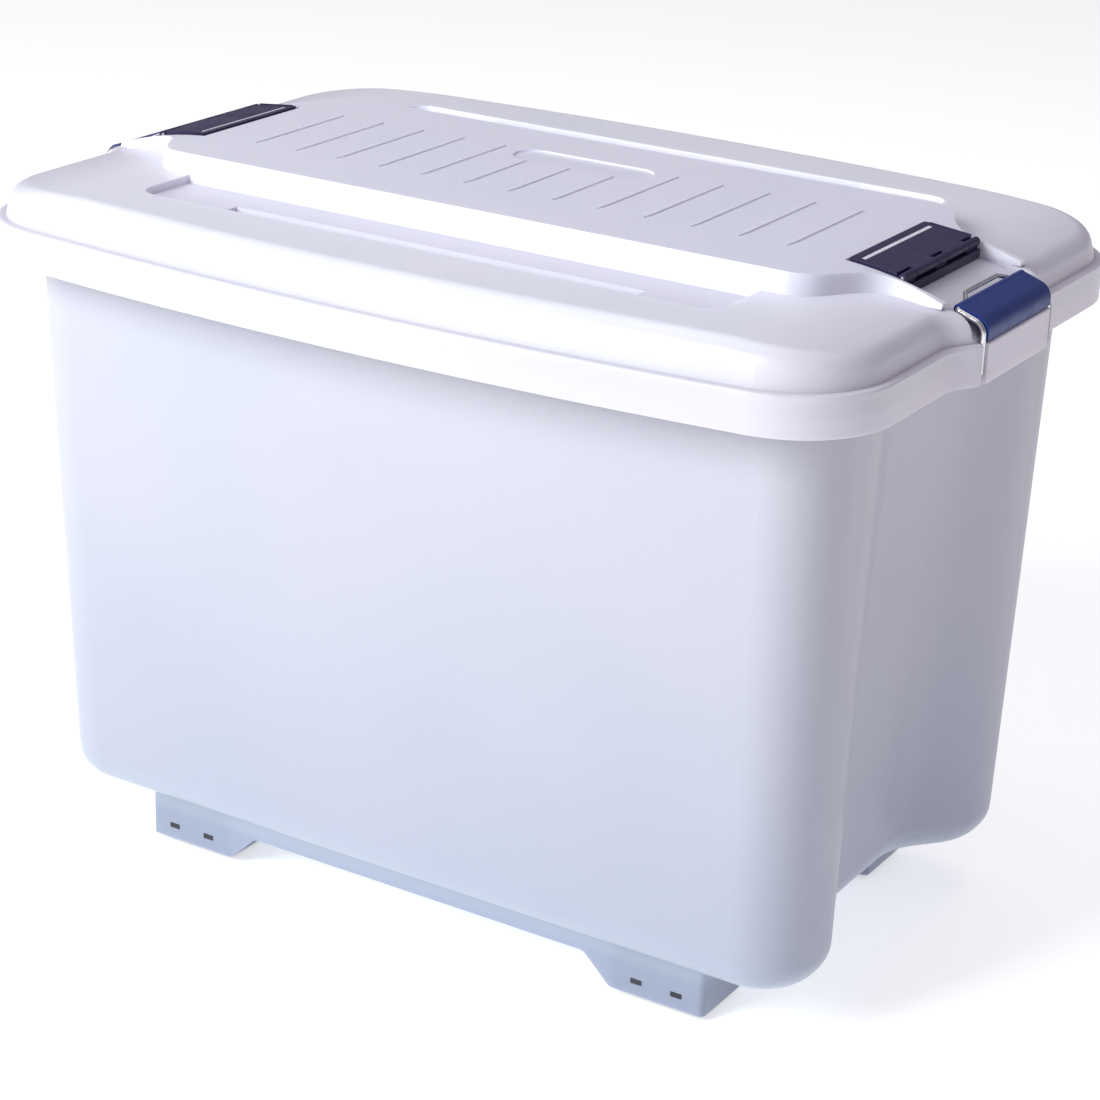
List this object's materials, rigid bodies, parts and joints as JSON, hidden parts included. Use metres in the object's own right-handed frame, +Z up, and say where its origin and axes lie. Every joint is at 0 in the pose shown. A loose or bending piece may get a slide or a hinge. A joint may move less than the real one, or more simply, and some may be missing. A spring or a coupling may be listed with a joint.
{
  "type": "wheeled storage trunk",
  "caption": "Deep storage trunk with hidden wheels, a stepped lift-off lid with stacking grooves, and a wire clip and folding hasp plate at each end.",
  "frame": {"origin": "on the floor the wheels stand on, under the middle of the trunk", "axes": "+X along the trunk towards the right clip, +Y from the front long side to the rear one, +Z up"},
  "size_m": [0.792, 0.536, 0.5782],
  "materials": {
    "tub_plastic": "translucent, satin",
    "lid_plastic": "satin",
    "grip_plastic": "gloss",
    "flap_plastic": "satin",
    "hinge_plastic": "satin",
    "wire_steel": "bright drawn wire",
    "pin_steel": "plain",
    "wheel_plastic": "moulded",
    "carrier_plastic": "moulded"
  },
  "bodies": {
    "trunk": {"tub": "tub_plastic", "front_left_wheel_carrier": "carrier_plastic", "front_right_wheel_carrier": "carrier_plastic", "rear_left_wheel_carrier": "carrier_plastic", "rear_right_wheel_carrier": "carrier_plastic", "front_left_wheel_axle": "pin_steel", "front_right_wheel_axle": "pin_steel", "rear_left_wheel_axle": "pin_steel", "rear_right_wheel_axle": "pin_steel"},
    "lid": {"lid": "lid_plastic", "left_hinge_base": "hinge_plastic", "left_hinge_pin": "pin_steel", "right_hinge_base": "hinge_plastic", "right_hinge_pin": "pin_steel"},
    "left_clip": {"left_clip_wire": "wire_steel", "left_clip_loop": "wire_steel", "left_clip_grip": "grip_plastic"},
    "left_hasp": {"left_hasp_flap": "flap_plastic"},
    "right_clip": {"right_clip_wire": "wire_steel", "right_clip_loop": "wire_steel", "right_clip_grip": "grip_plastic"},
    "right_hasp": {"right_hasp_flap": "flap_plastic"},
    "front_left_roller": {"front_left_wheel": "wheel_plastic"},
    "front_right_roller": {"front_right_wheel": "wheel_plastic"},
    "rear_left_roller": {"rear_left_wheel": "wheel_plastic"},
    "rear_right_roller": {"rear_right_wheel": "wheel_plastic"}
  },
  "joints": [
    {"name": "lid_lift", "type": "slide", "parent": "trunk", "child": "lid", "axis": [0, 0, 1], "range_m": [0, 0.15]},
    {"name": "left_clip_turn", "type": "hinge", "parent": "lid", "child": "left_clip", "pos_m": [-0.3925, 0, 0.511], "axis": [0, -1, 0], "range_deg": [0, 170]},
    {"name": "left_hasp_turn", "type": "hinge", "parent": "lid", "child": "left_hasp", "pos_m": [-0.33, 0, 0.5695], "axis": [0, -1, 0], "range_deg": [0, 183]},
    {"name": "right_clip_turn", "type": "hinge", "parent": "lid", "child": "right_clip", "pos_m": [0.3925, 0, 0.511], "axis": [0, 1, 0], "range_deg": [0, 170]},
    {"name": "right_hasp_turn", "type": "hinge", "parent": "lid", "child": "right_hasp", "pos_m": [0.33, 0, 0.5695], "axis": [0, 1, 0], "range_deg": [0, 183]},
    {"name": "front_left_roll", "type": "hinge", "parent": "trunk", "child": "front_left_roller", "pos_m": [-0.223, -0.139, 0.02], "axis": [0, 1, 0], "continuous": true},
    {"name": "front_right_roll", "type": "hinge", "parent": "trunk", "child": "front_right_roller", "pos_m": [0.223, -0.139, 0.02], "axis": [0, 1, 0], "continuous": true},
    {"name": "rear_left_roll", "type": "hinge", "parent": "trunk", "child": "rear_left_roller", "pos_m": [-0.223, 0.139, 0.02], "axis": [0, 1, 0], "continuous": true},
    {"name": "rear_right_roll", "type": "hinge", "parent": "trunk", "child": "rear_right_roller", "pos_m": [0.223, 0.139, 0.02], "axis": [0, 1, 0], "continuous": true}
  ]
}
